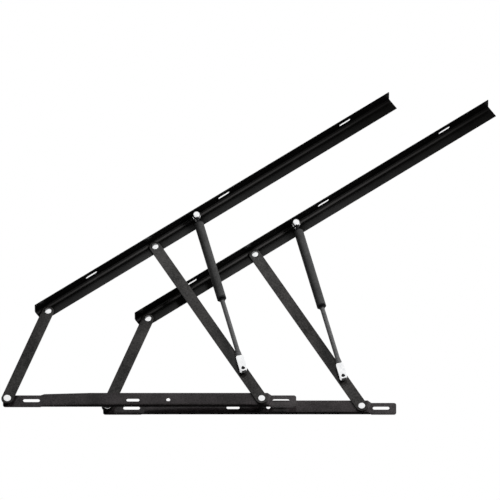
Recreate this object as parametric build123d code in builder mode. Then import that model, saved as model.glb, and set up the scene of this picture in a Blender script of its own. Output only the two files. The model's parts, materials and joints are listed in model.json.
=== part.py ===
from build123d import *
from math import atan2, cos, degrees, hypot, sin, sqrt
import os

os.makedirs("parts", exist_ok=True)

# Frame: X along the base rails, Z up from the floor under them, and Y away from the viewer.
# Each unit is drawn with its left base pivot at X = 0 and its mounting plane at Y = 0.

# Pivot centres of one open unit, as (x, z)
base_left = (0.0, 20.0)
base_right = (810.6, 20.0)
rail_left = (128.3, 347.3)
rail_middle = (469.8, 590.0)
strut_top = (601.85, 694.5)
strut_foot = (751.5, 118.0)

# The rear unit stands beside and behind the front one
rear_shift = (319.0, 46.0)

# Sheet and layers, as distances in front of the mounting plane
sheet = 2.5
web_back = 15.0
web_front = web_back + sheet
link_gap = 0.3
link_depth = 4.5
link_back = web_front + link_gap
link_front = link_back + link_depth
recess_face = link_front - sheet
strut_axis = 42.0

# Fits
running = 0.05
axial_gap = 0.3

# Base rail
base_left_end = -14.0
base_right_end = 921.0
base_height = 43.0
tab_left_end = 105.0
step_left_end = 118.0
step_out = 7.5
slope_end = 265.0
web_right_end = 830.0
tab_right_start = 842.0
tab_corner = 8.0
tab_slot = (53.5, 12.0)
tab_slot_z = 24.0
tab_slots_x = (77.0, 872.5)
web_slot = (42.0, 11.0)
web_slot_at = (400.5, 16.5)
web_hole_radius = 6.5
web_hole_at = (513.0, 18.0)

# Links
link_width = 38.0
link_edge_round = 1.8

# Rivets, washers and studs
shank_radius = 6.0
head_radius = 11.0
base_left_head_radius = 12.0
head_thickness = 3.5
head_round = 2.6
tail_radius = 8.5
tail_thickness = 1.4
flare_radius = 7.5
flare_depth = 1.4
washer_radius = 12.5

# Top rail
rail_web = 45.0
rail_flange = 42.0
rail_below_pivots = 19.5
rail_above_pivots = rail_web - rail_below_pivots
rail_length = 1390.0
rail_left_over = 34.0
rail_right_over = rail_length - rail_left_over
rail_inner_round = 3.5
rail_outer_round = rail_inner_round + sheet
rail_corner = 5.0
rail_slot = (44.0, 12.0)
rail_slots_at = (187.0, 706.0, 1182.0)
rail_slot_front = 34.5

# Strut
tube_radius = 15.0
tube_wall = 1.5
bore_radius = tube_radius - tube_wall
tube_start = 32.0
tube_end = 321.0
tube_lip = 1.2
tube_edge_round = 1.0
plug_depth = 12.0
plug_shoulder = 4.0
rod_radius = 7.5
rod_thread_radius = 5.0
rod_swell_radius = 9.5
rod_swell_cone = 12.0
rod_swell_length = 20.0
thread_past_nut = 4.0
nut_length = 8.0
nut_radius = 9.5
piston_length = 14.0
piston_to_seal = 6.0
seal_length = 7.0
guide_length = 22.0
guide_to_lip = 2.8
collar_length = 5.0
collar_neck_radius = 9.5
collar_neck_length = 6.0
ball_radius = 8.0
ball_gap = 0.1
socket_radius = 11.5
socket_front = 12.0
socket_back = 6.5
socket_mouth_radius = 7.0
stud_neck_radius = 4.5
stud_collar_radius = 9.0
stud_collar_length = 5.0
stem_radius = 5.0
clip_wire = 0.7
clip_arc = 260.0
foot_above = 49.0
foot_below = 10.5
foot_width = 25.0
foot_thickness = 15.0
foot_round = 6.0
rod_in_foot = 16.0
foot_stud_radius = 6.0
foot_collar_radius = 8.5
foot_stud_recess = 2.0
foot_edge_round = 1.5


def distance(a, b):
    return hypot(b[0] - a[0], b[1] - a[1])


def direction(a, b):
    return ((b[0] - a[0]) / distance(a, b), 0.0, (b[1] - a[1]) / distance(a, b))


def along(start, run, point):
    """How far a point lies along a run from its start."""
    return (point[0] - start[0]) * run[0] + (point[1] - start[1]) * run[2]


def across(start, run, point):
    """How far a point lies to the left of a run from its start."""
    return (point[1] - start[1]) * run[0] - (point[0] - start[0]) * run[2]


rail_angle = atan2(rail_middle[1] - rail_left[1], rail_middle[0] - rail_left[0])
along_rail = direction(rail_left, rail_middle)
across_rail = (-along_rail[2], 0.0, along_rail[0])
strut_length = distance(strut_top, strut_foot)
along_strut = direction(strut_top, strut_foot)

# The row's origin is under the middle of the pair's box
rail_tip_x = rail_left[0] + rail_right_over * cos(rail_angle) + rail_below_pivots * sin(rail_angle)
left_side_x = base_left[0] - link_width / 2
middle_x = (left_side_x + rail_tip_x + rear_shift[0]) / 2
middle_y = (rear_shift[1] - web_back - rail_flange) / 2
unit_places = {
    "front": (-middle_x, -middle_y),
    "rear": (rear_shift[0] - middle_x, rear_shift[1] - middle_y),
}


def save(piece, name):
    """Write one piece of the drawn unit at both units' places."""
    for unit, (x, y) in unit_places.items():
        placed = Pos(x, y, 0) * piece
        placed.label = f"{unit}_{name}"
        export_step(placed, f"parts/{unit}_{name}.step")


def facing(point, depth):
    """Plane square to Y at a depth in front of the mounting plane, looking at the viewer."""
    return Plane(origin=(point[0], -depth, point[1]), x_dir=(1, 0, 0), z_dir=(0, -1, 0))


def turned(point):
    """Plane through a pivot's axis: its x is the radius and its y is the row's Y."""
    return Plane(origin=(point[0], 0, point[1]))


def pivot_axis(point):
    return Axis(origin=(point[0], 0, point[1]), direction=(0, 1, 0))


# Base rail: the plan of its pressed strip runs tab, step, gentle slope, web, step and tab
plan_front = [
    (base_left_end, -sheet),
    (tab_left_end, -sheet),
    (step_left_end, -sheet - step_out),
    (slope_end, -web_front),
    (web_right_end, -web_front),
    (tab_right_start, -sheet),
    (base_right_end, -sheet),
]
plan_back = [(x, y + sheet) for x, y in reversed(plan_front)]
with BuildPart() as base_rail:
    with BuildSketch(Plane.XY):
        with BuildLine():
            Polyline(*plan_front, *plan_back, close=True)
        make_face()
    extrude(amount=base_height)
    # Bottom return, from the web back to the mounting plane
    with BuildSketch(Plane.XY):
        with BuildLine():
            Polyline(*plan_front[1:6], close=True)
        make_face()
    extrude(amount=sheet)
    outer_ends = base_rail.edges().filter_by(Axis.Y).group_by(Axis.X)
    fillet(outer_ends[0] + outer_ends[-1], tab_corner)
    with BuildSketch(facing((0, 0), 0)):
        for x in tab_slots_x:
            with Locations((x, tab_slot_z)):
                SlotOverall(*tab_slot)
        with Locations(web_slot_at):
            SlotOverall(*web_slot)
        with Locations(web_hole_at):
            Circle(web_hole_radius)
        with Locations(base_left, base_right):
            Circle(shank_radius + running)
    extrude(amount=web_front + 1, mode=Mode.SUBTRACT)
    # Countersink behind the left tab for the rivet's flared end
    with BuildSketch(turned(base_left)):
        with BuildLine():
            Polyline((0, 0), (flare_radius + running, 0), (shank_radius + running, -flare_depth),
                     (0, -flare_depth), close=True)
        make_face()
    revolve(axis=pivot_axis(base_left), mode=Mode.SUBTRACT)
save(base_rail.part, "base_rail")


def pressed_link(start, end, extra_holes=()):
    """Pressed arm: a rounded bar with its rim turned back, and a hole at each pivot."""
    length = distance(start, end)
    back = Plane(
        origin=(start[0], -link_back, start[1]), x_dir=direction(start, end), z_dir=(0, -1, 0)
    )
    with BuildPart() as link:
        with BuildSketch(back):
            with Locations((length / 2, 0)):
                SlotCenterToCenter(length, link_width)
        extrude(amount=link_depth)
        fillet(link.faces().sort_by(Axis.Y)[0].edges(), link_edge_round)
        with BuildSketch(back):
            with Locations((length / 2, 0)):
                SlotCenterToCenter(length, link_width - 2 * sheet)
        extrude(amount=link_depth - sheet, mode=Mode.SUBTRACT)
        with BuildSketch(back):
            with Locations((0, 0), (length, 0)):
                Circle(shank_radius + running)
            for place, radius in extra_holes:
                with Locations(place):
                    Circle(radius)
        extrude(amount=link_depth, mode=Mode.SUBTRACT)
    return link.part


save(pressed_link(base_left, rail_left), "short_link")

# The foot stud's hole lies on the long link, at the strut's foot
long_run = direction(base_right, rail_middle)
foot_place = (along(base_right, long_run, strut_foot), across(base_right, long_run, strut_foot))
foot_hole = (foot_place, foot_stud_radius + running)
save(pressed_link(base_right, rail_middle, (foot_hole,)), "long_link")

# Top rail: an angle with its web behind the links and its flange over them, towards the viewer
rail_start = Plane(
    origin=(
        rail_left[0] - rail_left_over * along_rail[0],
        0,
        rail_left[1] - rail_left_over * along_rail[2],
    ),
    x_dir=(0, 1, 0),
    z_dir=along_rail,
)
rail_top = Plane(
    origin=(
        rail_left[0] + rail_above_pivots * across_rail[0],
        0,
        rail_left[1] + rail_above_pivots * across_rail[2],
    ),
    x_dir=along_rail,
    z_dir=across_rail,
)
web_holes = Plane(origin=(rail_left[0], -web_back, rail_left[1]), x_dir=along_rail, z_dir=(0, -1, 0))
stud_place = (along(rail_left, along_rail, strut_top), across(rail_left, along_rail, strut_top))
with BuildPart() as top_rail:
    with BuildSketch(rail_start):
        with BuildLine():
            Polyline(
                (-web_back, -rail_below_pivots),
                (-web_back, rail_above_pivots),
                (-web_back - rail_flange, rail_above_pivots),
                (-web_back - rail_flange, rail_above_pivots - sheet),
                (-web_front, rail_above_pivots - sheet),
                (-web_front, -rail_below_pivots),
                close=True,
            )
        make_face()
    extrude(amount=rail_length)
    long_edges = top_rail.edges().filter_by(lambda edge: edge.length > rail_length - 1)
    outer_bend = long_edges.sort_by_distance(
        rail_start.from_local_coords((-web_back, rail_above_pivots))
    )[0]
    fillet(outer_bend, rail_outer_round)
    long_edges = top_rail.edges().filter_by(lambda edge: edge.length > rail_length - 1)
    inner_bend = long_edges.sort_by_distance(
        rail_start.from_local_coords((-web_front, rail_above_pivots - sheet))
    )[0]
    fillet(inner_bend, rail_inner_round)
    lower_corners = top_rail.edges().filter_by(Axis.Y).sort_by_distance(
        rail_start.from_local_coords((-web_back, -rail_below_pivots))
    )[0]
    fillet(lower_corners, rail_corner)
    with BuildSketch(rail_top):
        for slot_at in rail_slots_at:
            with Locations((slot_at, -rail_slot_front)):
                SlotOverall(*rail_slot)
    extrude(amount=-sheet, mode=Mode.SUBTRACT)
    with BuildSketch(web_holes):
        with Locations((0, 0), (distance(rail_left, rail_middle), 0)):
            Circle(shank_radius + running)
        with Locations(stud_place):
            Circle(stem_radius + running)
    extrude(amount=sheet, mode=Mode.SUBTRACT)
save(top_rail.part, "top_rail")


def turned_piece(point, outline):
    """Solid turned about a pivot's axis from its (radius, y) outline."""
    with BuildPart() as piece:
        with BuildSketch(turned(point)):
            with BuildLine():
                Polyline(*outline, close=True)
            make_face()
        revolve(axis=pivot_axis(point))
    return piece.part


def domed_head(piece):
    """Round the front rim of a rivet's head."""
    with BuildPart() as rivet:
        add(piece)
        fillet(rivet.faces().sort_by(Axis.Y)[0].edges(), head_round)
    return rivet.part


def ring(point, inner, outer, front, back):
    """Plain washer or bush between two depths in front of the mounting plane."""
    with BuildPart() as piece:
        with BuildSketch(facing(point, back)):
            Circle(outer)
            Circle(inner, mode=Mode.SUBTRACT)
        extrude(amount=front - back)
    return piece.part


# Rivets. The head stands clear of the link that turns on it.
head_back = link_front + axial_gap
head_front = head_back + head_thickness
left_rivet = [
    (0, -head_front),
    (base_left_head_radius, -head_front),
    (base_left_head_radius, -head_back),
    (shank_radius, -head_back),
    (shank_radius, -flare_depth),
    (flare_radius, 0),
    (0, 0),
]
save(domed_head(turned_piece(base_left, left_rivet)), "base_left_rivet")
bush_front = recess_face - axial_gap
save(ring(base_left, shank_radius + running, washer_radius, bush_front, sheet), "base_left_bush")

rail_rivet = [
    (0, -head_front),
    (head_radius, -head_front),
    (head_radius, -head_back),
    (shank_radius, -head_back),
    (shank_radius, -web_back),
    (tail_radius, -web_back),
    (tail_radius, -web_back + tail_thickness),
    (0, -web_back + tail_thickness),
]
for name, point in (("rail_left", rail_left), ("rail_middle", rail_middle)):
    save(domed_head(turned_piece(point, rail_rivet)), f"{name}_rivet")
    save(ring(point, shank_radius + running, washer_radius, bush_front, web_front), f"{name}_washer")

# Right base pivot, in two halves: head, shank and washer go with the link, the tail stays in the base
right_rivet_head = [
    (0, -link_front - head_thickness),
    (head_radius, -link_front - head_thickness),
    (head_radius, -link_front),
    (shank_radius, -link_front),
    (shank_radius, -link_back),
    (0, -link_back),
]
save(domed_head(turned_piece(base_right, right_rivet_head)), "base_right_rivet_head")
right_washer = ring(base_right, shank_radius + running, washer_radius, recess_face, link_back)
save(right_washer, "base_right_washer")
right_rivet_tail = [
    (0, -web_front),
    (shank_radius, -web_front),
    (shank_radius, -web_back),
    (tail_radius, -web_back),
    (tail_radius, -web_back + tail_thickness),
    (0, -web_back + tail_thickness),
]
save(turned_piece(base_right, right_rivet_tail), "base_right_rivet_tail")

# Ball stud in the rail's web: a riveted tail, a collar, a neck and the ball
with BuildPart() as strut_ball_stud:
    with BuildSketch(turned(strut_top)):
        with BuildLine():
            Polyline(
                (0, -strut_axis),
                (stud_neck_radius, -strut_axis),
                (stud_neck_radius, -web_front - stud_collar_length),
                (stud_collar_radius, -web_front - stud_collar_length),
                (stud_collar_radius, -web_front),
                (stem_radius, -web_front),
                (stem_radius, -web_back),
                (tail_radius, -web_back),
                (tail_radius, -web_back + tail_thickness),
                (0, -web_back + tail_thickness),
                close=True,
            )
        make_face()
    revolve(axis=pivot_axis(strut_top))
    with Locations((strut_top[0], -strut_axis, strut_top[1])):
        Sphere(ball_radius)
save(strut_ball_stud.part, "strut_ball_stud")


def along_strut_plane(run):
    """Plane square to the strut's axis, at a run down from its top pivot."""
    return Plane(
        origin=(
            strut_top[0] + run * along_strut[0],
            -strut_axis,
            strut_top[1] + run * along_strut[2],
        ),
        x_dir=(0, 1, 0),
        z_dir=along_strut,
    )


def strut_round(steps, bore=0.0):
    """Stepped round piece on the strut's axis, from (start, end, radius) steps."""
    with BuildPart() as piece:
        for start, end, radius in steps:
            with BuildSketch(along_strut_plane(start)):
                Circle(radius)
            extrude(amount=end - start)
        if bore:
            with BuildSketch(along_strut_plane(steps[0][0])):
                Circle(bore)
            extrude(amount=steps[-1][1] - steps[0][0], mode=Mode.SUBTRACT)
    return piece.part


# Ball socket: a domed cup over the ball, with a cross hole for the stem
cavity_radius = ball_radius + ball_gap
cavity_mouth = sqrt(cavity_radius**2 - socket_mouth_radius**2)
dome = socket_front / 2
with BuildPart() as strut_ball_socket:
    with BuildSketch(turned(strut_top)):
        with BuildLine():
            Line((0, -strut_axis - cavity_radius), (0, -strut_axis - socket_front))
            Line((0, -strut_axis - socket_front), (socket_radius - dome, -strut_axis - socket_front))
            RadiusArc(
                (socket_radius - dome, -strut_axis - socket_front),
                (socket_radius, -strut_axis - socket_front + dome),
                -dome,
            )
            Polyline(
                (socket_radius, -strut_axis - socket_front + dome),
                (socket_radius, -strut_axis + socket_back),
                (socket_mouth_radius, -strut_axis + socket_back),
                (socket_mouth_radius, -strut_axis + cavity_mouth),
            )
            ThreePointArc(
                (socket_mouth_radius, -strut_axis + cavity_mouth),
                (cavity_radius, -strut_axis),
                (0, -strut_axis - cavity_radius),
            )
        make_face()
    revolve(axis=pivot_axis(strut_top))
    with BuildSketch(along_strut_plane(0)):
        Circle(stem_radius + running)
    extrude(amount=socket_radius + 1, mode=Mode.SUBTRACT)
save(strut_ball_socket.part, "strut_ball_socket")

# Wire clip in front of the socket's open rim
clip_depth = strut_axis - socket_back + 3 * clip_wire
clip_plane = Plane(
    origin=(strut_top[0], -clip_depth, strut_top[1]), x_dir=along_strut, z_dir=(0, -1, 0)
)
clip_path_radius = socket_radius + clip_wire + running
with BuildPart() as socket_clip:
    with BuildLine(clip_plane) as clip_path:
        CenterArc((0, 0), clip_path_radius, 180 - clip_arc / 2, clip_arc)
    with BuildSketch(Plane(origin=clip_path.line @ 0, z_dir=clip_path.line % 0)):
        Circle(clip_wire)
    sweep()
save(socket_clip.part, "socket_clip")

# Strut body, from the top down
stem_start = ball_radius + 4 * ball_gap
plug_steps = [
    (stem_start, tube_start - plug_shoulder, stem_radius),
    (tube_start - plug_shoulder, tube_start, tube_radius - plug_shoulder),
    (tube_start, tube_start + plug_depth, bore_radius - running),
]
save(strut_round(plug_steps), "strut_top_plug")

with BuildPart() as strut_tube:
    with BuildSketch(along_strut_plane(tube_start)):
        Circle(tube_radius)
    extrude(amount=tube_end - tube_start)
    fillet(strut_tube.edges().filter_by(GeomType.CIRCLE), tube_edge_round)
    with BuildSketch(along_strut_plane(tube_start)):
        Circle(bore_radius)
    extrude(amount=tube_end - tube_start - tube_lip, mode=Mode.SUBTRACT)
    with BuildSketch(along_strut_plane(tube_start)):
        Circle(rod_radius + 1.5)
    extrude(amount=tube_end - tube_start, mode=Mode.SUBTRACT)
save(strut_tube.part, "strut_tube")

guide_end = tube_end - guide_to_lip
guide_start = guide_end - guide_length
seal_start = guide_start - seal_length
save(strut_round([(seal_start, guide_start, bore_radius - running)], rod_radius + running), "rod_seal")
guide_steps = [(guide_start, guide_end, bore_radius - running)]
save(strut_round(guide_steps, rod_radius + running), "rod_guide")
collar_steps = [
    (tube_end, tube_end + collar_length, tube_radius),
    (tube_end + collar_length, tube_end + collar_length + collar_neck_length, collar_neck_radius),
]
save(strut_round(collar_steps, rod_radius + running), "tube_end_collar")

# Rod, piston and nut. The rod swells towards the foot, below the part that slides into the tube.
piston_end = seal_start - piston_to_seal
piston_start = piston_end - piston_length
nut_start = piston_start - nut_length
foot_top = strut_length - foot_above
swell_start = foot_top - rod_swell_length
rod_steps = [
    (nut_start - thread_past_nut, piston_end, rod_thread_radius),
    (piston_end, foot_top + rod_in_foot, rod_radius),
    (swell_start + rod_swell_cone, foot_top, rod_swell_radius),
]
with BuildPart() as strut_rod:
    add(strut_round(rod_steps))
    with BuildSketch(along_strut_plane(swell_start)):
        Circle(rod_radius)
    with BuildSketch(along_strut_plane(swell_start + rod_swell_cone)):
        Circle(rod_swell_radius)
    loft()
save(strut_rod.part, "strut_rod")
piston_steps = [(piston_start, piston_end, bore_radius - 2 * running)]
save(strut_round(piston_steps, rod_thread_radius + running), "strut_piston")
with BuildPart() as piston_nut:
    with BuildSketch(along_strut_plane(nut_start)):
        RegularPolygon(nut_radius, 6)
        Circle(rod_thread_radius + running, mode=Mode.SUBTRACT)
    extrude(amount=nut_length)
save(piston_nut.part, "piston_nut")

# Foot fitting: a flat eye on the rod's end
foot_plane = Plane(
    origin=(strut_foot[0], -strut_axis + foot_thickness / 2, strut_foot[1]),
    x_dir=along_strut,
    z_dir=(0, -1, 0),
)
with BuildPart() as foot_fitting:
    with BuildSketch(foot_plane):
        with Locations(((foot_below - foot_above) / 2, 0)):
            RectangleRounded(foot_above + foot_below, foot_width, foot_round)
    extrude(amount=foot_thickness)
    fillet(foot_fitting.faces().sort_by(Axis.Y)[0].edges(), foot_edge_round)
    with BuildSketch(along_strut_plane(foot_top)):
        Circle(rod_radius + running)
    extrude(amount=rod_in_foot, mode=Mode.SUBTRACT)
    with BuildSketch(foot_plane):
        Circle(foot_stud_radius + running)
    extrude(amount=foot_thickness, mode=Mode.SUBTRACT)
save(foot_fitting.part, "foot_fitting")

# Foot stud: it stays in the fitting's eye, and its riveted tail stays in the long link
foot_back = strut_axis - foot_thickness / 2
foot_front = strut_axis + foot_thickness / 2
foot_stud_outline = [
    (0, -foot_front + foot_stud_recess),
    (foot_stud_radius, -foot_front + foot_stud_recess),
    (foot_stud_radius, -foot_back),
    (foot_collar_radius, -foot_back),
    (foot_collar_radius, -link_front - axial_gap),
    (0, -link_front - axial_gap),
]
save(turned_piece(strut_foot, foot_stud_outline), "foot_stud")
foot_tail_outline = [
    (0, -link_front),
    (foot_stud_radius, -link_front),
    (foot_stud_radius, -recess_face),
    (foot_collar_radius, -recess_face),
    (foot_collar_radius, -recess_face + tail_thickness),
    (0, -recess_face + tail_thickness),
]
save(turned_piece(strut_foot, foot_tail_outline), "foot_stud_tail")

print("rail angle", round(degrees(rail_angle), 3), "strut", round(strut_length, 2))
print("origin in unit frame", round(middle_x, 3), round(middle_y, 3))
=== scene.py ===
# %% [markdown]
# # A pair of bed lifts, dressed for the camera
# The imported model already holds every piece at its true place, so this lesson only adds looks. The frame is
# loaded first, because everything later takes its place and its size from it. Lengths are in metres, X runs
# along the base rails, Y away from the viewer and Z up.

# %% Load the frame
import json
from math import cos, pi, radians, sin

import bmesh
import bpy
import numpy as np
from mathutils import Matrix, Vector

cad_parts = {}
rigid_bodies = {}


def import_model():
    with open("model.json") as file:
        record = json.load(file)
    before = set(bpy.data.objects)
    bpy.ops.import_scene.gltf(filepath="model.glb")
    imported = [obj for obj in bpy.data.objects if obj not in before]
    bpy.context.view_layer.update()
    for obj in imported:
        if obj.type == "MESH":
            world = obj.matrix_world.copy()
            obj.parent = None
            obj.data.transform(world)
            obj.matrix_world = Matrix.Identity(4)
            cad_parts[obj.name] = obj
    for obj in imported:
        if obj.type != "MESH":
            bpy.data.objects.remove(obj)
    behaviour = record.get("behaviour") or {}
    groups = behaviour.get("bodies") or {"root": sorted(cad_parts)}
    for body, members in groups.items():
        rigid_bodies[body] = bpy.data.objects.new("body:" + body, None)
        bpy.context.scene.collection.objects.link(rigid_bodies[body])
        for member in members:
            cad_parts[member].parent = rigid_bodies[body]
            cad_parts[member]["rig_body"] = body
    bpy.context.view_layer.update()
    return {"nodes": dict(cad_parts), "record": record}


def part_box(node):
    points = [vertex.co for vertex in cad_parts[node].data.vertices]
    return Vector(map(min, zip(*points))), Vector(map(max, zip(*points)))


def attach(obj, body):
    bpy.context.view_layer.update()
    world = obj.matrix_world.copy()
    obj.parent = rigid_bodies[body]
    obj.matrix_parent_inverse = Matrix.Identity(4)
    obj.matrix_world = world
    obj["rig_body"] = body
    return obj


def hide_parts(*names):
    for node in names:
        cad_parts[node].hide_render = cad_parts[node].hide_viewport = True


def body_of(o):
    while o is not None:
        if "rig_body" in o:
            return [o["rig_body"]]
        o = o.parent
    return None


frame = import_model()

scene = bpy.context.scene
scene.view_settings.view_transform = "Standard"
units = ("front", "rear")

# %% [markdown]
# ## The camera
# The picture was taken from low down and from far away: rivet heads are a little flatter than round, the
# underside of the rail's flange shows above its web, and equal pieces keep their size along the picture. A
# long lens at seventy-five metres gives almost parallel lines, and 32 degrees of upward tilt gives those
# flattened heads.

# %% Camera
tilt = radians(32)
look = Vector((0, cos(tilt), sin(tilt)))
picture_width = 1.6
stand_off = 75.0
target = Vector((0.00107, 0, 0.5875))
camera_data = bpy.data.cameras.new("camera")
camera_data.sensor_width = 36
camera_data.lens = camera_data.sensor_width * stand_off / picture_width
camera_data.clip_start, camera_data.clip_end = 1, 200
camera = bpy.data.objects.new("camera", camera_data)
camera.location = target - look * stand_off
camera.rotation_euler = (pi / 2 + tilt, 0, 0)
scene.collection.objects.link(camera)
scene.camera = camera
print("lens", round(camera_data.lens, 1), "camera at", [round(v, 2) for v in camera.location])

# %% [markdown]
# ## The floor
# The studio is white. Rays that come from the camera, from a mirror or through glass see a pale floor, and
# rays that only carry soft light see a dark one, so that black enamel stays black on its undersides. The
# camera looks up through the floor, so the floor's lower side lets camera rays pass. Seen from above, the
# floor glows a little by itself, which keeps it pale under weak lamps while the contact shadows stay. Far
# from the lamps it fades into the white world, which leaves no horizon.
#
# Every material, the world and the groups are node trees, so a few small helpers come first: one that makes
# and joins nodes, and one that tells looking rays from rays that carry light.

# %% Small helpers
def quad(name, corners):
    """One four-sided face."""
    mesh = bpy.data.meshes.new(name)
    mesh.from_pydata(corners, [], [(0, 1, 2, 3)])
    obj = bpy.data.objects.new(name, mesh)
    scene.collection.objects.link(obj)
    return obj


def tree_of(material):
    """Node tree, a maker of nodes and a joiner of sockets, for a material, world or group."""
    tree = material.node_tree if hasattr(material, "node_tree") else material

    def node(kind, **values):
        made = tree.nodes.new(kind)
        for key, value in values.items():
            setattr(made, key, value)
        return made

    def join(a, b):
        tree.links.new(a, b)

    return tree, node, join


def greater(node, join, a, b):
    """The greater of two numbers."""
    most = node("ShaderNodeMath", operation="MAXIMUM")
    join(a, most.inputs[0])
    join(b, most.inputs[1])
    return most.outputs[0]


def looking(node, join):
    """Two sockets: 1 for a ray from the camera, a mirror or glass, then 1 for one from the camera alone.

    A ray that only carries soft light gives 0 in both.
    """
    rays = node("ShaderNodeLightPath")
    mirrored = greater(node, join, rays.outputs["Is Camera Ray"], rays.outputs["Is Glossy Ray"])
    return greater(node, join, mirrored, rays.outputs["Is Transmission Ray"]), rays.outputs["Is Camera Ray"]


print("helpers", [maker.__name__ for maker in (quad, tree_of, greater, looking)])

# %% Floor
floor_reach = 60
floor_for_light, floor_for_eyes, floor_glow = 0.12, 0.55, 0.50
fade_from, fade_to = 0.8, 2.8
floor = quad("floor", [(-floor_reach, -floor_reach, 0), (floor_reach, -floor_reach, 0),
                       (floor_reach, floor_reach, 0), (-floor_reach, floor_reach, 0)])
floor_paint = bpy.data.materials.new("pale_floor")
floor_paint.use_nodes = True
tree, node, join = tree_of(floor_paint)
tree.nodes.clear()
out = node("ShaderNodeOutputMaterial")
ground = node("ShaderNodeBsdfDiffuse")
looked_at, from_camera = looking(node, join)
tone = node("ShaderNodeMix", data_type="RGBA")
join(looked_at, tone.inputs["Factor"])
tone.inputs[6].default_value = (floor_for_light,) * 3 + (1,)
tone.inputs[7].default_value = (floor_for_eyes,) * 3 + (1,)
join(tone.outputs[2], ground.inputs["Color"])
pale = node("ShaderNodeEmission")
paleness = node("ShaderNodeMapRange")
paleness.inputs["To Max"].default_value = floor_glow
join(looked_at, paleness.inputs["Value"])
join(paleness.outputs[0], pale.inputs["Strength"])
lit = node("ShaderNodeAddShader")
join(ground.outputs[0], lit.inputs[0])
join(pale.outputs[0], lit.inputs[1])
clear = node("ShaderNodeBsdfTransparent")
side = node("ShaderNodeNewGeometry")
place = node("ShaderNodeTexCoord")
away = node("ShaderNodeVectorMath", operation="LENGTH")
join(place.outputs["Object"], away.inputs[0])
fade = node("ShaderNodeMapRange", interpolation_type="SMOOTHSTEP")
fade.inputs["From Min"].default_value = fade_from
fade.inputs["From Max"].default_value = fade_to
join(away.outputs["Value"], fade.inputs["Value"])
unseen = greater(node, join, side.outputs["Backfacing"], fade.outputs[0])
let_pass = node("ShaderNodeMath", operation="MULTIPLY")
join(unseen, let_pass.inputs[0])
join(from_camera, let_pass.inputs[1])
choice = node("ShaderNodeMixShader")
join(let_pass.outputs[0], choice.inputs[0])
join(lit.outputs[0], choice.inputs[1])
join(clear.outputs[0], choice.inputs[2])
join(choice.outputs[0], out.inputs["Surface"])
floor.data.materials.append(floor_paint)
print("floor", floor_reach * 2, "m wide")

# %% [markdown]
# ## The world
# A white room surrounds the lifts. It is full white to look at and in mirrors, and gives only a little soft
# light by itself. Its whiteness doesn't light the object flat, and the lamps still shape it.

# %% World
world = bpy.data.worlds.new("studio")
scene.world = world
world.use_nodes = True
tree, node, join = tree_of(world)
tree.nodes.clear()
out = node("ShaderNodeOutputWorld")
world_for_light, world_for_eyes = 0.22, 1.0
strength = node("ShaderNodeMapRange")
strength.inputs["To Min"].default_value = world_for_light
strength.inputs["To Max"].default_value = world_for_eyes
join(looking(node, join)[0], strength.inputs["Value"])
white = node("ShaderNodeBackground")
white.inputs["Color"].default_value = (1, 1, 1, 1)
join(strength.outputs[0], white.inputs["Strength"])
join(white.outputs[0], out.inputs["Surface"])
print("world", world.name)

# %% [markdown]
# ## The lamps
# Three soft discs light the set: a key from the right front, a weak fill from above and a back light that
# draws the shadows forward. The key stands far away, so that the left end of the lifts gets nearly as much
# as the right. The lamps are weak enough to show each colour about as written.
#
# Mirrored rays don't see them. On glossy enamel a lamp's mirror image would be a blown patch, and what the
# enamel in the photograph mirrors is the wide white room.

# %% Lamps
def soft_lamp(name, place, aim, size, watts):
    """Round area lamp that looks at a point and isn't seen by mirrored rays."""
    lamp = bpy.data.lights.new(name, "AREA")
    lamp.shape = "DISK"
    lamp.size = size
    lamp.energy = watts
    obj = bpy.data.objects.new(name, lamp)
    obj.location = place
    obj.rotation_euler = (Vector(aim) - Vector(place)).to_track_quat("-Z", "Y").to_euler()
    obj.visible_glossy = False
    scene.collection.objects.link(obj)
    return obj


soft_lamp("key", (3.7, -3.1, 2.1), (-0.1, 0, 0.6), 1.6, 310)
soft_lamp("fill", (-0.5, -1.5, 2.3), (-0.2, 0, 0.6), 1.2, 8)
soft_lamp("back", (0.5, 3.0, 2.6), (0, 0, 0.5), 1.8, 14)

# %% [markdown]
# ## Shared effects
# What more than one finish needs is made once, as a group, and each material places it with its own values.
# A group only works out masks, tones and heights. What depends on the viewer stays in the materials.
#
# Enamel and plate wear first along their rims, so the first group is a mask of the rims: a bevelled normal
# differs from the true normal only near an edge, and a noise breaks the line where nothing has rubbed.

# %% Rim mask
def effect(name, inputs, outputs):
    """Shader node group with named sockets: inputs as (name, value), outputs as (name, kind)."""
    group = bpy.data.node_groups.new(name, "ShaderNodeTree")
    for label, value in inputs:
        socket = group.interface.new_socket(label, in_out="INPUT", socket_type="NodeSocketFloat")
        socket.default_value = value
    for label, kind in outputs:
        group.interface.new_socket(label, in_out="OUTPUT", socket_type=kind)
    _, node, join = tree_of(group)
    return group, node("NodeGroupInput"), node("NodeGroupOutput"), node, join


rim_mask, given, result, node, join = effect(
    "rim_mask",
    [("Width", 0.001), ("Breaks", 60.0), ("Bare", 0.42), ("Amount", 0.6)],
    [("Mask", "NodeSocketFloat")],
)
soft_normal = node("ShaderNodeBevel", samples=4)
join(given.outputs["Width"], soft_normal.inputs["Radius"])
true_normal = node("ShaderNodeNewGeometry")
likeness = node("ShaderNodeVectorMath", operation="DOT_PRODUCT")
join(soft_normal.outputs[0], likeness.inputs[0])
join(true_normal.outputs["Normal"], likeness.inputs[1])
edge = node("ShaderNodeMapRange")
edge.inputs["From Min"].default_value = 0.995
edge.inputs["From Max"].default_value = 0.86
join(likeness.outputs["Value"], edge.inputs["Value"])
place = node("ShaderNodeTexCoord")
breaks = node("ShaderNodeTexNoise")
breaks.inputs["Detail"].default_value = 5
join(place.outputs["Object"], breaks.inputs["Vector"])
join(given.outputs["Breaks"], breaks.inputs["Scale"])
whole = node("ShaderNodeMath", operation="ADD")
whole.inputs[1].default_value = 0.2
join(given.outputs["Bare"], whole.inputs[0])
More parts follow.
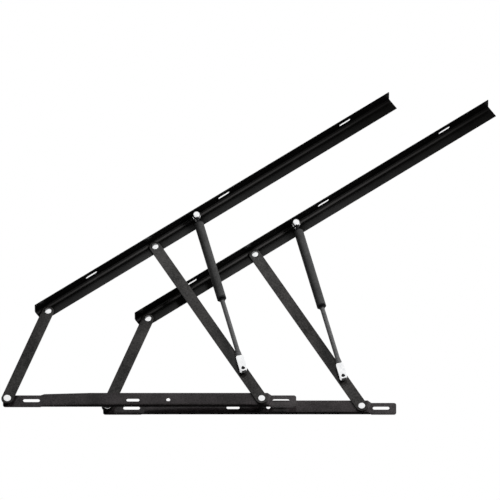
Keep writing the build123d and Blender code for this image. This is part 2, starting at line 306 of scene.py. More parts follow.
patchy = node("ShaderNodeMapRange")
join(given.outputs["Bare"], patchy.inputs["From Min"])
join(whole.outputs[0], patchy.inputs["From Max"])
join(breaks.outputs["Fac"], patchy.inputs["Value"])
both = node("ShaderNodeMath", operation="MULTIPLY")
join(edge.outputs[0], both.inputs[0])
join(patchy.outputs[0], both.inputs[1])
scaled = node("ShaderNodeMath", operation="MULTIPLY")
join(both.outputs[0], scaled.inputs[0])
join(given.outputs["Amount"], scaled.inputs[1])
join(scaled.outputs[0], result.inputs["Mask"])
print("effect", rim_mask.name)

# %% [markdown]
# ### Along and across a rail
# A top rail is a pressed angle. Where its web meets its flange, a painted highlight stands for the light
# that the inner bend catches from below: one soft pale line, painted by a mask of a band at a given height
# across the rail. Height across the rail is a dot product with the rail's own up direction, so the band runs
# straight however the rail leans.
#
# The strength of the gloss along it is painted as well. A second group raises the coat's weight up to a peak
# station and lets it fall after it, a painted reflection that is strongest about a third of the way up and
# weak towards the high end. The long links and the base rails use it too.

# %% Painted highlight in the root of the angle
# Painted highlight: a pale band across the rail at the height of its inner bend.
painted_bend_highlight, given, result, node, join = effect(
    "painted_bend_highlight", [("Across X", 0.0), ("Across Z", 1.0), ("Offset", 0.0), ("Reach", 0.005), ("Amount", 0.8)],
    [("Mask", "NodeSocketFloat")],
)
place = node("ShaderNodeTexCoord")
across = node("ShaderNodeCombineXYZ")
join(given.outputs["Across X"], across.inputs["X"])
join(given.outputs["Across Z"], across.inputs["Z"])
height = node("ShaderNodeVectorMath", operation="DOT_PRODUCT")
join(place.outputs["Object"], height.inputs[0])
join(across.outputs[0], height.inputs[1])
gap = node("ShaderNodeMath", operation="SUBTRACT")
join(height.outputs["Value"], gap.inputs[0])
join(given.outputs["Offset"], gap.inputs[1])
apart = node("ShaderNodeMath", operation="ABSOLUTE")
join(gap.outputs[0], apart.inputs[0])
band = node("ShaderNodeMapRange", interpolation_type="SMOOTHSTEP")
join(given.outputs["Reach"], band.inputs["From Min"])
band.inputs["From Max"].default_value = 0.0
join(apart.outputs[0], band.inputs["Value"])
scaled = node("ShaderNodeMath", operation="MULTIPLY")
join(band.outputs[0], scaled.inputs[0])
join(given.outputs["Amount"], scaled.inputs[1])
join(scaled.outputs[0], result.inputs["Mask"])
print("effect", painted_bend_highlight.name)

# %% Painted reflection along a piece
# Painted reflection: the coat's weight rises to a peak station and falls after it.
painted_reflection_run, given, result, node, join = effect(
    "painted_reflection_run",
    [("Along X", 1.0), ("Along Z", 0.0), ("Left", 0.0), ("Peak", 0.5), ("Right", 1.0),
     ("At Left", 0.55), ("At Peak", 1.15), ("Share Right", 0.06)],
    [("Gloss", "NodeSocketFloat")],
)
place = node("ShaderNodeTexCoord")
along = node("ShaderNodeCombineXYZ")
join(given.outputs["Along X"], along.inputs["X"])
join(given.outputs["Along Z"], along.inputs["Z"])
station = node("ShaderNodeVectorMath", operation="DOT_PRODUCT")
join(place.outputs["Object"], station.inputs[0])
join(along.outputs[0], station.inputs[1])
rise = node("ShaderNodeMapRange")
join(given.outputs["At Left"], rise.inputs["To Min"])
join(given.outputs["At Peak"], rise.inputs["To Max"])
join(given.outputs["Left"], rise.inputs["From Min"])
join(given.outputs["Peak"], rise.inputs["From Max"])
join(station.outputs["Value"], rise.inputs["Value"])
fall = node("ShaderNodeMapRange")
fall.inputs["To Min"].default_value = 1.0
join(given.outputs["Share Right"], fall.inputs["To Max"])
join(given.outputs["Peak"], fall.inputs["From Min"])
join(given.outputs["Right"], fall.inputs["From Max"])
join(station.outputs["Value"], fall.inputs["Value"])
both = node("ShaderNodeMath", operation="MULTIPLY")
join(rise.outputs[0], both.inputs[0])
join(fall.outputs[0], both.inputs[1])
join(both.outputs[0], result.inputs["Gloss"])
print("effect", painted_reflection_run.name)

# %% [markdown]
# ### Painted shade in corners, grain and streaks
#
# Under a flange or beside a rivet, a painted shade weakens the enamel's coat, in place of the dark neighbours
# that the enamel mirrors there. A group finds such places by how much of the near surroundings is open.
# Fine grain is the orange peel of sprayed enamel with a slow cloud and a quick mottle of tone over it.
# Streaks are noise pulled long in one direction, as drawing, turning and plating leave them.

# %% Painted shade in sheltered places
# Painted shade: the coat is weakened where little of the near surroundings is open.
painted_corner_shade, given, result, node, join = effect(
    "painted_corner_shade", [("Reach", 0.010), ("Low", 0.45), ("High", 0.85)], [("Open", "NodeSocketFloat")]
)
sky = node("ShaderNodeAmbientOcclusion", samples=6)
join(given.outputs["Reach"], sky.inputs["Distance"])
opened = node("ShaderNodeMapRange")
join(given.outputs["Low"], opened.inputs["From Min"])
join(given.outputs["High"], opened.inputs["From Max"])
join(sky.outputs["AO"], opened.inputs["Value"])
join(opened.outputs[0], result.inputs["Open"])
print("effect", painted_corner_shade.name)

# %% Fine grain
fine_grain, given, result, node, join = effect(
    "fine_grain",
    [("Scale", 900.0), ("Cloud", 9.0), ("Mottle", 260.0)],
    [("Height", "NodeSocketFloat"), ("Tone", "NodeSocketFloat")],
)
place = node("ShaderNodeTexCoord")
peel = node("ShaderNodeTexNoise")
peel.inputs["Detail"].default_value = 3
join(place.outputs["Object"], peel.inputs["Vector"])
join(given.outputs["Scale"], peel.inputs["Scale"])
cloud = node("ShaderNodeTexNoise")
cloud.inputs["Detail"].default_value = 6
cloud.inputs["Roughness"].default_value = 0.65
join(place.outputs["Object"], cloud.inputs["Vector"])
join(given.outputs["Cloud"], cloud.inputs["Scale"])
mottle = node("ShaderNodeTexNoise")
mottle.inputs["Detail"].default_value = 2
join(place.outputs["Object"], mottle.inputs["Vector"])
join(given.outputs["Mottle"], mottle.inputs["Scale"])
tone = node("ShaderNodeMath", operation="ADD")
join(cloud.outputs["Fac"], tone.inputs[0])
join(mottle.outputs["Fac"], tone.inputs[1])
stretched = node("ShaderNodeMapRange")
stretched.inputs["From Min"].default_value = 0.75
stretched.inputs["From Max"].default_value = 1.25
join(tone.outputs[0], stretched.inputs["Value"])
join(peel.outputs["Fac"], result.inputs["Height"])
join(stretched.outputs[0], result.inputs["Tone"])
print("effect", fine_grain.name)

# %% Brushed streaks
streaks, given, result, node, join = effect(
    "streaks",
    [("Along X", 30.0), ("Along Y", 900.0), ("Along Z", 900.0)],
    [("Streak", "NodeSocketFloat")],
)
place = node("ShaderNodeTexCoord")
spread = node("ShaderNodeCombineXYZ")
for axis in "XYZ":
    join(given.outputs[f"Along {axis}"], spread.inputs[axis])
stretched = node("ShaderNodeVectorMath", operation="MULTIPLY")
join(place.outputs["Object"], stretched.inputs[0])
join(spread.outputs[0], stretched.inputs[1])
lines = node("ShaderNodeTexNoise")
lines.inputs["Scale"].default_value = 1.0
lines.inputs["Detail"].default_value = 4
join(stretched.outputs[0], lines.inputs["Vector"])
join(lines.outputs["Fac"], result.inputs["Streak"])
print("effect", streaks.name, "of", len(bpy.data.node_groups))

# %% [markdown]
# ## Finishes
# Three kinds of surface make up the mechanism: black stoved enamel on pressed steel, bright zinc plate on
# the rivets and fittings, and the ground rod. Each finish mixes a base tone with a cloud of slightly
# different tone, breaks its roughness in the same way, and shows thin bare rims where handling has rubbed
# it.
#
# The enamel's pigment is nearly black, and almost all that is seen of it is the clear top that mirrors the
# room. So the grey of the links comes from the weight of a coat over a dark base, varied by grain and by a
# painted shade that weakens the coat in sheltered corners. A rail's web looks down at the dark underside of
# its own flange and mirrors it, and the top rails also wear a much darker copy of the enamel, a painted
# shade. The zinc is smooth and mostly metal, so it shows the white room with a slightly duller rim.

# %% A finish's parts
def ramp_between(node, join, factor, low, high):
    """Colour that runs from low to high as the factor goes from 0 to 1."""
    mix = node("ShaderNodeMix", data_type="RGBA")
    join(factor, mix.inputs["Factor"])
    mix.inputs[6].default_value = (*low, 1)
    mix.inputs[7].default_value = (*high, 1)
    return mix.outputs[2]


def scaled_to(node, join, factor, low, high, start=0.3, stop=0.7):
    """Number that runs from low to high as the factor goes from start to stop."""
    part = node("ShaderNodeMapRange")
    part.inputs["From Min"].default_value = start
    part.inputs["From Max"].default_value = stop
    part.inputs["To Min"].default_value = low
    part.inputs["To Max"].default_value = high
    join(factor, part.inputs["Value"])
    return part.outputs[0]


def shader_of(name, metallic=0.0, specular=0.5):
    """New material with one Principled shader, whose plain values sit on its own sockets."""
    material = bpy.data.materials.new(name)
    material.use_nodes = True
    tree, node, join = tree_of(material)
    shader = tree.nodes["Principled BSDF"]
    shader.inputs["Metallic"].default_value = metallic
    shader.inputs["Specular IOR Level"].default_value = specular
    return material, shader, node, join


def points_of(node):
    """A node's vertices as rows of (x, y, z), in metres."""
    return np.array([vertex.co for vertex in frame["nodes"][node].data.vertices])


def use(node, group, **values):
    """Place a shared effect with its own values."""
    made = node("ShaderNodeGroup", node_tree=group)
    for label, value in values.items():
        made.inputs[label.replace("_", " ")].default_value = value
    return made


print("parts of a finish", [maker.__name__ for maker in (ramp_between, scaled_to, shader_of, points_of, use)])


# %% [markdown]
# ### How enamel is built
# Stoved enamel is sprayed on and baked. Spray leaves a fine orange peel, which is the bump, and slow clouds
# of thicker and thinner paint, which are the tone. Handling rubs the rims to a duller grey. The gloss is
# the clear skin on top, so its strength is the coat's weight. A rail also gets a painted highlight, a pale
# line in its inner bend, and along rails and links the coat's weight is painted to rise and fall, a painted
# reflection. In sheltered corners a painted shade weakens the coat.

# %% Enamel
def mixed_in(node, join, mask, under, colour):
    """Colour laid over another where a mask is high."""
    mix = node("ShaderNodeMix", data_type="RGBA")
    join(mask, mix.inputs["Factor"])
    join(under, mix.inputs[6])
    mix.inputs[7].default_value = (*colour, 1)
    return mix.outputs[2]


# Tone of the painted highlight in the root of a rail's angle.
bend_highlight_tone = (0.056, 0.054, 0.053)
base_specular = 0.02


def enamel(name, dark, light, rim, rim_width, rub, roughness, gloss, coat_roughness=0.2, peel=0.06,
           corner=(0.010, 0.45, 0.85), root=None, run=None):
    """Sprayed and stoved enamel: clouded tone, orange-peel bump, rubbed rims, painted shade in corners.

    gloss is the least and the greatest weight of the clear top of the enamel, and corner how far a corner
    shelters it, which sets the painted shade. root places a painted highlight, a lighter band in the root of
    an angle, and run a painted reflection, the rise and fall of the coat's weight along a piece.
    """
    material, shader, node, join = shader_of(name, specular=base_specular)
    grain = use(node, fine_grain, Scale=1100.0, Cloud=11.0)
    tone = ramp_between(node, join, grain.outputs["Tone"], dark, light)
    # Painted reflection: the coat's weight along the piece.
    if run:
        along = use(node, painted_reflection_run, **run)
    # Painted highlight: a pale band in the bend, fading with the painted reflection.
    if root:
        inside = node("ShaderNodeMath", operation="MULTIPLY")
        join(use(node, painted_bend_highlight, **root).outputs["Mask"], inside.inputs[0])
        join(along.outputs["Gloss"], inside.inputs[1])
        tone = mixed_in(node, join, inside.outputs[0], tone, bend_highlight_tone)
    rims = use(node, rim_mask, Width=rim_width, Breaks=75.0, Amount=rub)
    join(mixed_in(node, join, rims.outputs["Mask"], tone, rim), shader.inputs["Base Color"])
    join(scaled_to(node, join, grain.outputs["Tone"], *roughness), shader.inputs["Roughness"])
    # Painted shade: the coat is weaker in sheltered corners.
    unshaded_share = use(node, painted_corner_shade, Reach=corner[0], Low=corner[1], High=corner[2])
    wet = node("ShaderNodeMath", operation="MULTIPLY")
    join(scaled_to(node, join, grain.outputs["Tone"], *gloss, 0.0, 1.0), wet.inputs[0])
    join(unshaded_share.outputs["Open"], wet.inputs[1])
    weight = wet.outputs[0]
    # The painted reflection scales the coat's weight.
    if run:
        clear = node("ShaderNodeMath", operation="MULTIPLY")
        join(weight, clear.inputs[0])
        join(along.outputs["Gloss"], clear.inputs[1])
        weight = clear.outputs[0]
    join(weight, shader.inputs["Coat Weight"])
    shader.inputs["Coat Roughness"].default_value = coat_roughness
    bump = node("ShaderNodeBump")
    bump.inputs["Strength"].default_value = peel
    bump.inputs["Distance"].default_value = 0.0004
    join(grain.outputs["Height"], bump.inputs["Height"])
    join(bump.outputs[0], shader.inputs["Normal"])
    return material


print("maker", enamel.__name__)


# %% [markdown]
# ### How plate is built
# Zinc and chrome plate follow the tool marks under them, so tone, roughness and bump all come from fine
# streaks. The edges take a tone of their own: darker on the zinc and the rod, lighter on the dark steel.

# %% Plated and polished metal
def plated(name, dark, light, rim, rim_width, roughness, along, metallic=1.0, specular=0.5, peel=0.05):
    """Plated steel: streaked tone and roughness under a faint bump, and a dull tone along its rims."""
    material, shader, node, join = shader_of(name, metallic=metallic, specular=specular)
    lines = use(node, streaks, Along_X=along[0], Along_Y=along[1], Along_Z=along[2])
    grain = use(node, fine_grain, Scale=1500.0, Cloud=60.0)
    tone = ramp_between(node, join, grain.outputs["Tone"], dark, light)
    rims = use(node, rim_mask, Width=rim_width, Breaks=110.0, Bare=0.2, Amount=0.8)
    join(mixed_in(node, join, rims.outputs["Mask"], tone, rim), shader.inputs["Base Color"])
    shader.inputs["Specular Tint"].default_value = (*light, 1)
    join(scaled_to(node, join, lines.outputs["Streak"], *roughness), shader.inputs["Roughness"])
    bump = node("ShaderNodeBump")
    bump.inputs["Strength"].default_value = peel
    bump.inputs["Distance"].default_value = 0.0002
    join(lines.outputs["Streak"], bump.inputs["Height"])
    join(bump.outputs[0], shader.inputs["Normal"])
    return material


print("maker", plated.__name__)


# %% [markdown]
# ### The enamels of the mechanism
# All pressed steel leaves the same oven: the base rail is a touch warmer and has wider, brighter rims,
# partly rubbed wear and partly a painted highlight along its edges, and the top rails wear a much darker
# copy, a painted shade. Each look is a set of values for one maker of enamel.

# %% Looks of the enamels
arm_look = {
    "dark": (0.004, 0.0037, 0.0034), "light": (0.033, 0.0305, 0.0290), "rim": (0.10, 0.096, 0.092),
    "rim_width": 0.0009, "rub": 0.35, "roughness": (0.4, 0.6), "gloss": (0.32, 0.62), "coat_roughness": 0.16,
}
# Base rail: rims wider and brighter, partly wear and partly a painted highlight along its edges.
base_worn_and_highlit_look = arm_look | {
    "dark": (0.005, 0.0042, 0.0044), "light": (0.036, 0.0300, 0.0315), "rim": (0.13, 0.12, 0.12),
    "rim_width": 0.0016, "rub": 0.5,
}
# Top rails: a much darker copy of the same enamel, a painted shade.
rail_shaded_look = {
    "dark": (0.0005, 0.0005, 0.0004), "light": (0.0022, 0.0020, 0.0019), "rim": (0.06, 0.058, 0.056),
    "rim_width": 0.0008, "rub": 0.4, "roughness": (0.4, 0.6), "gloss": (0.42, 0.72), "coat_roughness": 0.18,
    "corner": (0.040, 0.60, 0.97),
}
arm_enamel = enamel("black_enamel", **arm_look)
print("plain enamel", arm_enamel.name)

# %% [markdown]
# A top rail and a base rail need to know where they lie, for the painted highlight in the bend and for the
# painted reflection along them, so each unit has its own. Their numbers are stations in metres, measured on
# the imported nodes.

# %% Enamel of the rails
rail_lean = radians(35.401)
# Depth and reach of the painted highlight in the bend, and the stations of the painted reflections.
root_depth, root_reach = 0.0104, 0.0060
peak_station = 0.44
tab_start, tab_length = 0.093, 0.079


def rail_paint_and_painted_light(unit):
    """Enamel of a unit's top rail, with the pale root under its flange as a painted highlight, and a painted
    reflection along it.

    Height across the leaning rail is the dot product of a point with (-sin lean, 0, cos lean), and station
    along it that with (cos lean, 0, sin lean).
    """
    points = points_of(f"{unit}_top_rail")
    top = (points @ (-sin(rail_lean), 0, cos(rail_lean))).max()
    along = points @ (cos(rail_lean), 0, sin(rail_lean))
    # Painted highlight in the bend and painted reflection along the rail.
    root = {"Across_X": -sin(rail_lean), "Across_Z": cos(rail_lean), "Offset": top - root_depth,
            "Reach": root_reach, "Amount": 1.0}
    run = {"Along_X": cos(rail_lean), "Along_Z": sin(rail_lean), "Left": along.min(),
           "Peak": along.min() + peak_station, "Right": along.max()}
    return enamel(f"{unit}_rail_enamel_painted_light", **rail_shaded_look, root=root, run=run)


def base_paint_and_painted_light(unit):
    """Base rail enamel, glossier on its right tab, pressed back to the side panel: a painted reflection."""
    end = points_of(f"{unit}_base_rail")[:, 0].max()
    # Painted reflection: the coat is up to 1.6 times as strong on the right tab.
    run = {"Along_X": 1.0, "Along_Z": 0.0, "Left": end - tab_start, "Peak": end - tab_length, "Right": end,
           "At_Left": 1.0, "At_Peak": 1.6, "Share_Right": 1.0}
    return enamel(f"{unit}_base_enamel_painted_light", **base_worn_and_highlit_look, run=run)


own_paint_and_painted_light = {f"{unit}_top_rail": rail_paint_and_painted_light(unit) for unit in units}
own_paint_and_painted_light |= {f"{unit}_base_rail": base_paint_and_painted_light(unit) for unit in units}
print("rail enamels", [finish.name for finish in own_paint_and_painted_light.values()])

# %% [markdown]
# The long links are the longest flat faces that look at the viewer. Their coat is painted stronger up at the
# rail, a painted reflection, and over the first half of their length this fades.

# %% Enamel of the long links
link_lean = np.arctan2(570.0, 340.8)
bright_length = 0.34


def link_paint_and_painted_sheen(unit):
    """Enamel of a unit's long link, glossier near its upper end by a painted reflection.

    Station along the link is the dot product of a point with the direction from its upper pivot to its
    lower one, which lies 340.8 mm to the right and 570 mm below.
    """
    start = (points_of(f"{unit}_long_link") @ (cos(link_lean), 0, -sin(link_lean))).min()
    # Painted reflection: the coat is 2.1 times as strong at the top and falls to about half of that over
    # bright_length.
    run = {"Along_X": cos(link_lean), "Along_Z": -sin(link_lean), "Left": start - 0.1, "Peak": start,
           "Right": start + bright_length, "At_Left": 2.1, "At_Peak": 2.1, "Share_Right": 0.53}
    return enamel(f"{unit}_link_enamel_painted_sheen", **arm_look, run=run)


own_paint_and_painted_light |= {f"{unit}_long_link": link_paint_and_painted_sheen(unit) for unit in units}
print("finishes of single pieces", len(own_paint_and_painted_light))

# %% [markdown]
# The strut's paint is a plainer, duller enamel over drawn tube. Nylon and rubber are made by the same maker
# with hardly any gloss, because a moulded surface also has a grain, a slightly worn rim and a broken
# roughness. The rod is ground and then plated, and mirrors little in a rough, streaked way.

# %% The other finishes
strut_enamel = enamel(
    "strut_enamel", (0.033, 0.033, 0.033), (0.064, 0.064, 0.064), (0.12, 0.12, 0.12), 0.0006, 0.3,
    (0.5, 0.65), gloss=(0.05, 0.12), coat_roughness=0.4,
)
bright_zinc = plated(
    "bright_zinc", (0.82, 0.83, 0.84), (0.98, 0.98, 0.98), (0.50, 0.50, 0.50), 0.0010, (0.08, 0.18),
    (900.0, 900.0, 60.0), metallic=0.85,
)
chromed_rod = plated(
    "chromed_rod", (0.082, 0.082, 0.0825), (0.140, 0.140, 0.141), (0.02, 0.02, 0.02), 0.0006, (0.34, 0.48),
    (900.0, 900.0, 40.0), metallic=0.3, specular=0.3,
)
dark_steel = plated(
    "dark_steel", (0.012, 0.012, 0.0125), (0.03, 0.03, 0.031), (0.06, 0.06, 0.06), 0.0006, (0.5, 0.7),
    (30.0, 900.0, 900.0), metallic=0.2, specular=0.2,
)
black_nylon = enamel(
    "black_nylon", (0.004, 0.004, 0.0045), (0.010, 0.010, 0.011), (0.03, 0.03, 0.03), 0.0005, 0.3,
    (0.5, 0.65), gloss=(0.10, 0.25), coat_roughness=0.4, peel=0.12,
)
seal_rubber = enamel(
    "seal_rubber", (0.012, 0.012, 0.012), (0.02, 0.02, 0.02), (0.04, 0.04, 0.04), 0.0004, 0.2, (0.6, 0.75),
    gloss=(0.02, 0.08), coat_roughness=0.5, peel=0.15,
)
made = (arm_enamel, strut_enamel, bright_zinc, chromed_rod, dark_steel, black_nylon, seal_rubber)
finishes = {finish.name.split(".")[0]: finish for finish in made}
slot_of = {part["node"]: part["material_slot"] for part in frame["record"]["subparts"]}
print("finishes", sorted(finishes))

# %% [markdown]
# ## Round pieces
# Rivets, tube, rod and collar were all turned or headed, so each is one outline swept round an axis.
# On the real pieces no corner is sharp: a header die rounds the rivet's crown, and a tumbling drum takes
# the burr off the rest. The outline is drawn with plain corners first, and every corner is then softened
# into a short parabola.

# %% Softened outlines
def softened(corners, steps=6):
    """Outline whose corners are turned into short parabolas, as rows of (radius, station).

    A corner is (radius, station, reach). With C the corner and A and B the points one reach before and after
    it, the curve is (1-t)(1-t)A + 2t(1-t)C + ttB for t from 0 to 1. A reach of 0 leaves the corner as it is.
    """
    drawn = np.array(corners, float)
    corner, reach = drawn[:, :2], drawn[:, 2:]
    back = np.roll(corner, 1, axis=0) - corner
    ahead = np.roll(corner, -1, axis=0) - corner
    first = corner + reach * back / np.linalg.norm(back, axis=1, keepdims=True)
    last = corner + reach * ahead / np.linalg.norm(ahead, axis=1, keepdims=True)
    t = np.linspace(0, 1, steps)[None, :, None]
    curve = (1 - t) ** 2 * first[:, None] + 2 * t * (1 - t) * corner[:, None] + t**2 * last[:, None]
    points = curve.reshape(-1, 2)
    apart = np.linalg.norm(np.diff(points, axis=0), axis=1) > 1e-6
    return points[np.r_[True, apart]]


def crown(radius, back, height, power, steps=14):
    """Headed crown in front of back, from its middle to its rim.

    With r the radius and h the height of a point, (r / radius)^power + (h / height)^power = 1.
    """
    t = np.linspace(0, pi / 2, steps)
    across = radius * np.sin(t) ** (2 / power)
    out = back - height * np.cos(t) ** (2 / power)
    return np.stack([across, out], axis=1)


print("a crown of 11 by 3 mm has", len(crown(11.0, 0.0, 3.0, 2.6)), "points")


# %% [markdown]
# ### From an outline to a mesh
# A turned piece is a grid of points: one ring of turns for each point of the outline. The grid of a rivet
# ends in two poles, and that of a tube closes on itself through its bore. Flat faces are kept flat in the
# shading by weighted normals, and the sign of the mesh's volume tells whether its faces look outwards.

# %% Skins over a grid
def skin(name, grid, closed):
    """Mesh over a grid of points, rings by turns, in millimetres.

    Every ring closes on itself. A closed grid also joins its last ring to its first. An open one starts and
    ends in a pole, where all points of the ring are one point.
    """
    rings = grid if closed else grid[1:-1]
    count, turns = rings.shape[:2]
    index = np.arange(count * turns).reshape(count, turns)
    rows = np.vstack([index, index[:1]]) if closed else index
    near, far = rows[:-1], rows[1:]
    faces = np.stack([near, np.roll(near, -1, 1), np.roll(far, -1, 1), far], axis=-1).reshape(-1, 4).tolist()
    points = rings.reshape(-1, 3)
    if not closed:
        points = np.vstack([points, grid[0, :1], grid[-1, :1]])
        pole = np.full(turns, count * turns)
        faces += np.stack([pole, np.roll(index[0], -1), index[0]], axis=-1).tolist()
        faces += np.stack([pole + 1, index[-1], np.roll(index[-1], -1)], axis=-1).tolist()
    mesh = bpy.data.meshes.new(name)
    mesh.from_pydata((points / 1000).tolist(), [], faces)
    solid = bmesh.new()
    solid.from_mesh(mesh)
    inside_out = solid.calc_volume(signed=True) < 0
    solid.free()
    if inside_out:
        mesh.flip_normals()
    mesh.shade_smooth()
    obj = bpy.data.objects.new(name, mesh)
    scene.collection.objects.link(obj)
    flats = obj.modifiers.new("flats first", "WEIGHTED_NORMAL")
    flats.weight = 80
    return obj


def turned(name, outline, origin, axis, closed=False, turns=72):
    """Piece turned about an axis: point = origin + radius (cos a side + sin a up) + station axis."""
    axis = np.array(axis, float)
    side = np.cross(axis, (0.0, 1.0, 0.0) if abs(axis[1]) < 0.9 else (1.0, 0.0, 0.0))
    side /= np.linalg.norm(side)
    up = np.cross(axis, side)
    angle = np.linspace(0, 2 * pi, turns, endpoint=False)[:, None]
    spoke = np.cos(angle) * side + np.sin(angle) * up
    grid = np.array(origin) + outline[:, :1, None] * spoke + outline[:, 1:, None] * axis
    return skin(name, grid, closed)


print("skins", [maker.__name__ for maker in (skin, turned)])


# %% [markdown]
# ### How a new piece takes its node's place
# A new piece is drawn straight at its place, then told which node it stands for, which finish it wears and
# which body it moves with. Its sizes are read from that node's box and vertices, so nothing is placed by
# eye.

# %% Where the pieces go
def stand_in(obj, node):
    """Let obj stand for a node: same finish slot, same moving body."""
    obj.data.materials.append(finishes[slot_of[node]])
    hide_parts(node)
    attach(obj, body_of(frame["nodes"][node])[0])
    return obj


def corners_of(node):
    """Lowest and highest corner of a node's box, in millimetres."""
    return (np.array(corner) * 1000 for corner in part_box(node))


def span(node, origin, axis):
    """Where a node starts and ends along an axis, in millimetres from the origin."""
    along = (points_of(node) * 1000 - origin) @ axis
    return along.min(), along.max()


print("a rivet's box, mm", [corner.round(2).tolist() for corner in corners_of("front_base_left_rivet")])


# %% [markdown]
# ## Rivets
# Four zinc-plated rivets show on each unit. A rivet holds its links without squeezing them, so the crown
# stands a little clear of the link. The crown is a flattened dome: a superellipse of power 2.6 gives the
# wide, nearly level middle and the quick shoulder of a headed rivet, and the tail behind is a thin spread
# disc or a filled countersink.

# %% Rivets
depth_axis = (0.0, 1.0, 0.0)
head_thickness = 3.5
head_rim = 0.6
crown_power = 2.6
shank, flare, disc = 6.0, 7.5, 8.5
tail_thickness = 1.4
spread_tail = [(shank, -tail_thickness, 0.3), (disc, -tail_thickness, 0.3), (disc, 0, 0.6), (0, 0, 0)]
tail_shapes = {
    "base_left_rivet": [(shank, -tail_thickness, 0.3), (flare, 0, 0.2), (0, 0, 0)],
    "rail_left_rivet": spread_tail,
    "rail_middle_rivet": spread_tail,
    "base_right_rivet_head": [(shank, 0, 0.4), (0, 0, 0)],
}
for unit in units:
    for piece, tail_shape in tail_shapes.items():
        low, high = corners_of(f"{unit}_{piece}")
        head_radius = (high[0] - low[0]) / 2
        rim_front = low[1] + head_thickness - head_rim
        dome = crown(head_radius, rim_front, rim_front - low[1], crown_power)
        start = [(head_radius, rim_front, 0), (head_radius, low[1] + head_thickness, 0.3)]
        start += [(shank, low[1] + head_thickness, 0.3)]
        rest = softened(start + [(radius, high[1] + station, reach) for radius, station, reach in tail_shape])
        origin = (low + high) / 2 * (1, 0, 1)
        outline = np.vstack([dome, rest[1:]])
        stand_in(turned(f"{unit}_{piece}_turned", outline, origin, depth_axis), f"{unit}_{piece}")

# %% [markdown]
# ## The gas strut
# The tube is drawn steel in black paint, closed at the foot end by a rolled lip and a moulded collar that
# wipes the rod. The rod is plated, and it thickens just above the foot where it was upset to take the
# fitting's thread. Station runs along the strut from the ball's centre to the foot's eye.

# %% Strut pieces
bore, tube_outside, rod_outside, rod_swollen, thread = 13.5, 15.0, 7.5, 9.5, 5.0
lip_mouth, lip_thickness = 9.0, 1.2
collar_length, collar_neck = 5.0, 9.5
swell_top, swell_full = 20.0, 8.0


def strut_line(unit, depth):
    """Centres of the ball and the foot's eye at one depth, and the direction from the first to the second."""
    ball, eye = (sum(corners_of(f"{unit}_{piece}")) / 2 for piece in ("strut_ball_socket", "foot_stud"))
    ball[1] = eye[1] = depth
    return ball, eye, (eye - ball) / np.linalg.norm(eye - ball)


for unit in units:
    ball, eye, strut_axis = strut_line(unit, (sum(corners_of(f"{unit}_strut_tube")) / 2)[1])

    start, end = span(f"{unit}_strut_tube", ball, strut_axis)
    outline = softened([
        (tube_outside, start, 2.4), (tube_outside, end, 1.0), (lip_mouth, end, 0.3),
        (lip_mouth, end - lip_thickness, 0.3), (bore, end - lip_thickness, 0.3), (bore, start, 0.4),
    ])
    tube = turned(f"{unit}_tube_drawn", outline, ball, strut_axis, closed=True, turns=96)
    stand_in(tube, f"{unit}_strut_tube")

    start, end = span(f"{unit}_tube_end_collar", ball, strut_axis)
    inner = rod_outside + 0.05
    outline = softened([
        (inner, start, 0), (tube_outside, start, 0.5), (tube_outside, start + collar_length, 1.6),
        (collar_neck, start + collar_length, 0.6), (collar_neck, end, 0.8), (inner, end, 0.4),
    ])
    collar = turned(f"{unit}_collar_moulded", outline, ball, strut_axis, closed=True)
    stand_in(collar, f"{unit}_tube_end_collar")

    start, end = span(f"{unit}_strut_rod", ball, strut_axis)
    step = span(f"{unit}_strut_piston", ball, strut_axis)[1]
    foot_top = span(f"{unit}_foot_fitting", ball, strut_axis)[0]
    outline = softened([
        (0, start, 0), (thread, start, 0.6), (thread, step, 0), (rod_outside, step, 0.8),
        (rod_outside, foot_top - swell_top, 6), (rod_swollen, foot_top - swell_full, 5),
        (rod_swollen, foot_top, 0.6), (rod_outside, foot_top, 0), (rod_outside, end, 0.5), (0, end, 0),
    ])
    stand_in(turned(f"{unit}_rod_ground", outline, ball, strut_axis), f"{unit}_strut_rod")
print("strut axis", strut_axis.round(3), "foot top", round(float(foot_top), 1))

# %% [markdown]
# ## The foot fitting
# A forged eye sits on the rod's end: a flat bar with rounded ends and a hole, through which the stud of the
# long link passes. Its skin is a closed grid. Each ring is the bar's outline, a rounded rectangle, moved
# inwards by some distance at some depth, and the last rings are circles that line the hole.

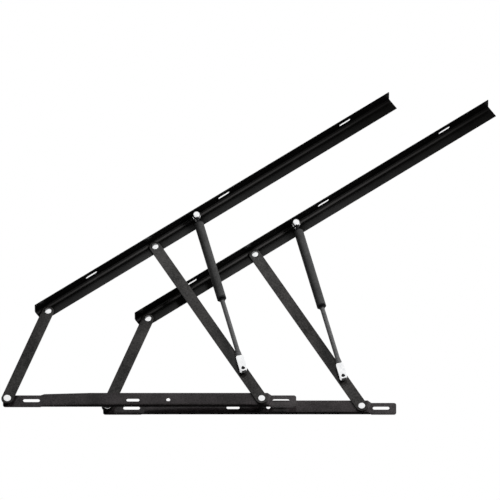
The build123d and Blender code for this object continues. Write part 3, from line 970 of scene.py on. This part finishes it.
# %% Foot fitting
def bar_outline(top, bottom, half_width, top_reach, bottom_reach, steps=10):
    """Rounded rectangle from top to bottom along the strut, as (along, across) points round the eye."""
    return softened([(top, half_width, top_reach), (bottom, half_width, bottom_reach),
                     (bottom, -half_width, bottom_reach), (top, -half_width, top_reach)], steps)


def drawn_in(outline, distance, middle, half_length, half_width):
    """The outline moved inwards by a distance, as a scale about its middle in each direction."""
    scale = np.array([1 - distance / half_length, 1 - distance / half_width])
    centre = np.array([middle, 0.0])
    return centre + (outline - centre) * scale


half_width, hole = 12.5, 6.05
top_round, foot_round = 9.0, 11.0
front_rim, back_rim, hole_rim = 1.5, 0.8, 0.8
turn = np.linspace(0, pi / 2, 6)
for unit in units:
    low, high = corners_of(f"{unit}_foot_fitting")
    _, eye, strut_axis = strut_line(unit, 0)
    across = np.cross(strut_axis, depth_axis)
    start, end = span(f"{unit}_foot_fitting", eye, strut_axis)
    middle, half_length = (start + end) / 2, (end - start) / 2
    outline = bar_outline(start, end, half_width, top_round, foot_round)
    bearing = np.arctan2(outline[:, 1], outline[:, 0])
    circle = np.stack([np.cos(bearing), np.sin(bearing)], axis=1)
    layers = [(circle * hole, high[1])]
    layers += [(drawn_in(outline, d, middle, half_length, half_width), high[1] - h)
               for d, h in zip(back_rim * (1 - np.sin(turn)), back_rim * (1 - np.cos(turn)))]
    layers += [(drawn_in(outline, d, middle, half_length, half_width), low[1] + h)
               for d, h in zip(front_rim * (1 - np.cos(turn)), front_rim * (1 - np.sin(turn)))]
    layers += [(circle * (hole + hole_rim), low[1]), (circle * hole, low[1] + hole_rim)]
    flat = np.array([points for points, _ in layers])
    depth = np.array([station for _, station in layers])[:, None, None]
    grid = eye + flat[..., :1] * strut_axis + flat[..., 1:] * across + depth * np.array(depth_axis)
    stand_in(skin(f"{unit}_fitting_forged", grid, closed=True), f"{unit}_foot_fitting")

# %% [markdown]
# ## The frame's own pieces
# Everything else is pressed sheet, wire and plain turned parts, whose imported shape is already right: rails,
# links, sockets, clips, washers and studs. They keep their mesh and only get their finish.

# %% Dress the frame's own pieces
for name, obj in frame["nodes"].items():
    for place in obj.material_slots:
        place.material = own_paint_and_painted_light.get(name, finishes[slot_of[name]])
print("dressed", len(frame["nodes"]), "pieces")
